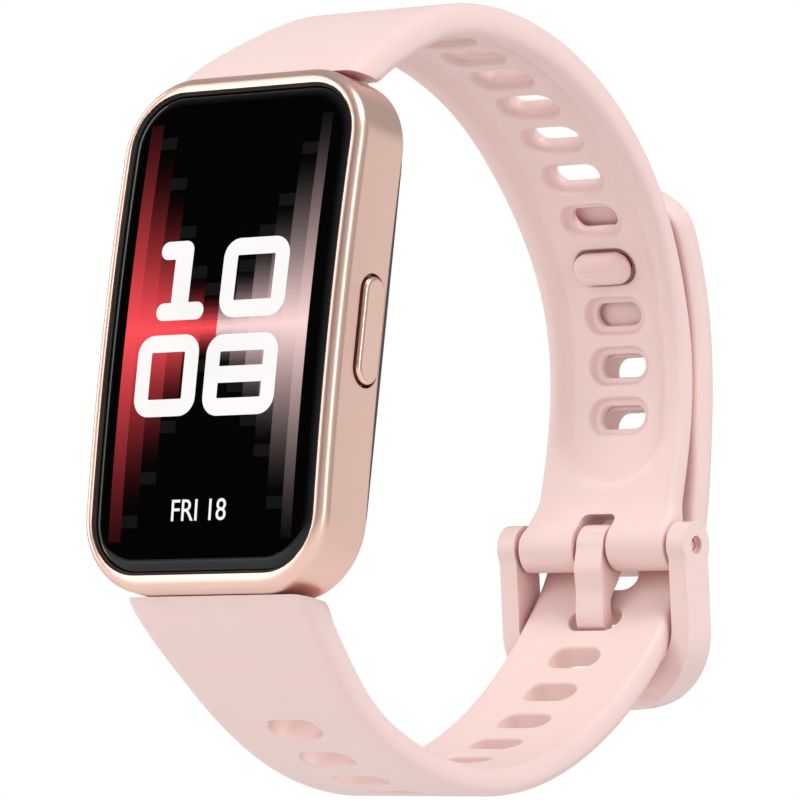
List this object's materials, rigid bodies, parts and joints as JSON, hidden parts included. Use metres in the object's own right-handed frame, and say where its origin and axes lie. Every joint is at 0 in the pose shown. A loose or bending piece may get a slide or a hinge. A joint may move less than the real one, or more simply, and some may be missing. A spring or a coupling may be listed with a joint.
{
  "type": "fitness tracker band",
  "caption": "Slim wrist-worn fitness tracker: arched glass screen in a metal case, side button, two-piece perforated soft strap with a tang buckle and snap-in tail.",
  "frame": {"origin": "centre of the flat sensor window on the back of the case, where the case lies on the skin", "axes": "+Z along the case towards the strap with the buckle, +X towards the side button, +Y from the case into the wrist opening; the screen faces -Y"},
  "size_m": [0.025, 0.0608, 0.0651],
  "materials": {
    "case_metal": "rose gold, satin",
    "cover_glass": "black, polished, arched",
    "seal_rubber": "black, matt",
    "display": "black panel",
    "flex_film": "amber film",
    "board": "green solder mask",
    "shield_steel": "plain steel",
    "battery_foil": "grey foil pouch",
    "rear_plastic": "black, fine texture",
    "sensor_window": "black, polished",
    "led_resin": "clear resin",
    "diode_resin": "dark resin",
    "contact_gold": "gold plated",
    "switch_plastic": "dark grey",
    "strap": "soft pink, silky",
    "stud": "pink, glossy",
    "link_steel": "plain steel",
    "pin_metal": "rose gold",
    "buckle": "pink, smooth"
  },
  "bodies": {
    "band": {"mid_frame": "case_metal", "cover_glass": "cover_glass", "glass_gasket": "seal_rubber", "display_panel": "display", "display_flex": "flex_film", "main_board": "board", "board_shield": "shield_steel", "battery": "battery_foil", "vibration_motor": "shield_steel", "rear_cover": "rear_plastic", "rear_seal": "seal_rubber", "sensor_window": "sensor_window", "sensor_board": "board", "sensor_led": "led_resin", "photodiode_upper": "diode_resin", "photodiode_lower": "diode_resin", "charge_contact_left": "contact_gold", "charge_contact_right": "contact_gold", "button_seal": "seal_rubber", "button_switch": "switch_plastic", "switch_bracket": "shield_steel", "upper_strap": "strap", "lower_strap": "strap", "upper_end_link": "link_steel", "lower_end_link": "link_steel", "buckle_pin": "pin_metal"},
    "button": {"button_cap": "case_metal"},
    "upper_latch": {"upper_end_latch": "link_steel"},
    "lower_latch": {"lower_end_latch": "link_steel"},
    "tail": {"lower_strap_tail": "strap", "tail_stud": "stud"},
    "frame": {"buckle_frame": "buckle"},
    "tongue": {"buckle_tongue": "buckle"}
  },
  "joints": [
    {"name": "button_press", "type": "slide", "parent": "band", "child": "button", "axis": [-1, 0, 0], "range_m": [0, 0.0003], "stiffness_N_per_m": 6000, "springref_m": -0.0001},
    {"name": "upper_release", "type": "slide", "parent": "band", "child": "upper_latch", "axis": [-1, 0, 0], "range_m": [0, 0.0013], "stiffness_N_per_m": 1500, "springref_m": -0.0008},
    {"name": "lower_release", "type": "slide", "parent": "band", "child": "lower_latch", "axis": [-1, 0, 0], "range_m": [0, 0.0013], "stiffness_N_per_m": 1500, "springref_m": -0.0008},
    {"name": "tail_peel", "type": "hinge", "parent": "band", "child": "tail", "pos_m": [0, 0.0523, -0.0015], "axis": [-1, 0, 0], "range_deg": [0, 30], "stiffness_Nm_per_rad": 0.02, "springref_deg": -11.46, "deforming": ["tail_stud"]},
    {"name": "buckle_swing", "type": "hinge", "parent": "band", "child": "frame", "pos_m": [0, 0.04657, -0.00727], "axis": [1, 0, 0], "range_deg": [0, 105]},
    {"name": "tongue_swing", "type": "hinge", "parent": "band", "child": "tongue", "pos_m": [0, 0.04657, -0.00727], "axis": [-1, 0, 0], "range_deg": [0, 100]}
  ]
}
